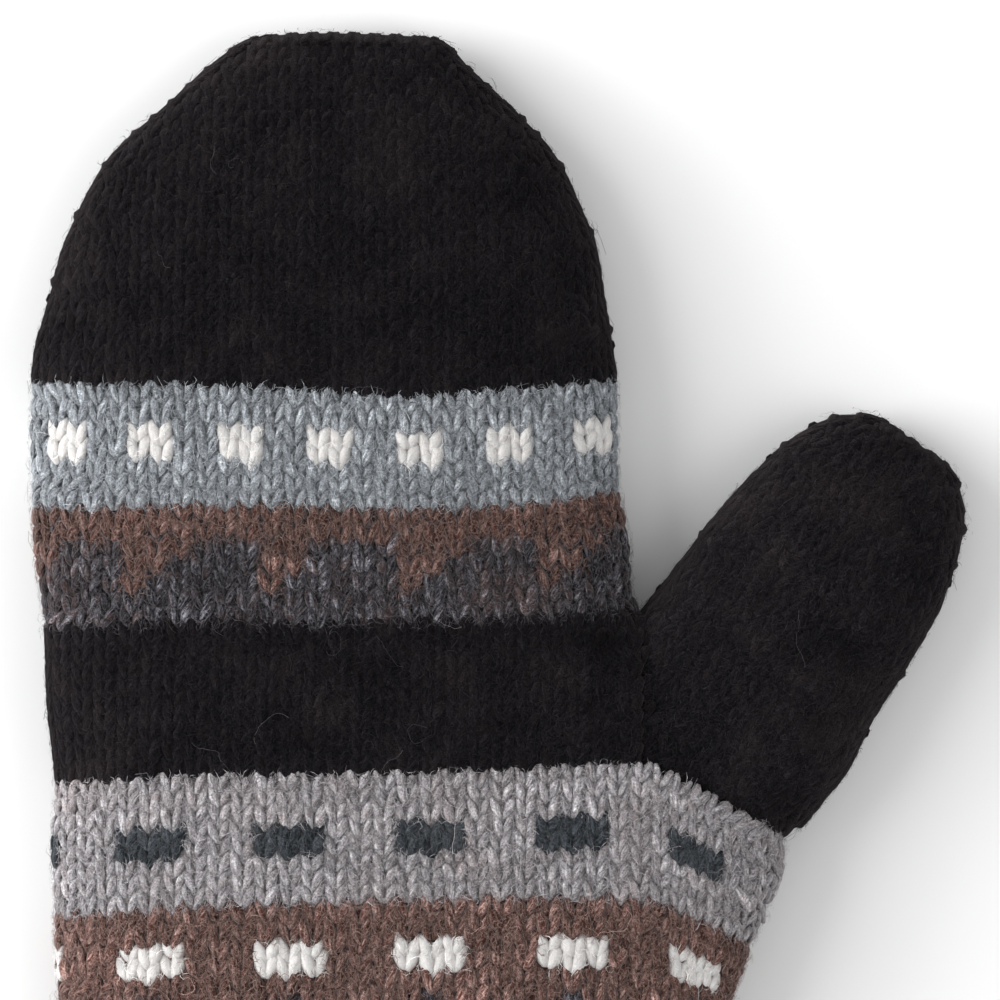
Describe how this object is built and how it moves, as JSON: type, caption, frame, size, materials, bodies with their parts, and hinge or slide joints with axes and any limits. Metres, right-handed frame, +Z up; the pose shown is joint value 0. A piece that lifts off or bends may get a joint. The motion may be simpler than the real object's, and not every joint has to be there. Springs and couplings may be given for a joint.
{
  "type": "alpaca mitten",
  "caption": "Hand-knitted alpaca mitten lying flat, thumb spread to the side, with a rounded top, coloured pattern bands and a ribbed cuff, hollow and open at the wrist.",
  "frame": {"origin": "on the table under the middle of the mitten's bounding box", "axes": "+Y from the cuff towards the fingertip, +X towards the thumb, +Z up from the table, out of the side the picture shows"},
  "size_m": [0.1686, 0.264, 0.0255],
  "materials": {
    "cuff_wool": "black ribbed alpaca wool, fuzzy",
    "wrist_wool": "dark heathered alpaca wool, fuzzy",
    "brown_wool": "brown heathered alpaca wool with off-white flecks, fuzzy",
    "light_grey_wool": "light grey heathered alpaca wool with dark dashes, fuzzy",
    "palm_wool": "black alpaca wool, fuzzy",
    "zigzag_wool": "brown points on dark heathered alpaca wool, fuzzy",
    "blue_grey_wool": "blue-grey heathered alpaca wool with off-white flecks, fuzzy",
    "fingertip_wool": "black alpaca wool, fuzzy",
    "thumb_wool": "black alpaca wool, fuzzy"
  },
  "bodies": {
    "root": {"cuff": "cuff_wool", "wrist_band": "wrist_wool", "brown_fleck_band": "brown_wool", "light_grey_band": "light_grey_wool", "palm_band": "palm_wool", "zigzag_band": "zigzag_wool", "blue_grey_band": "blue_grey_wool", "fingertip": "fingertip_wool", "thumb": "thumb_wool"}
  },
  "joints": []
}
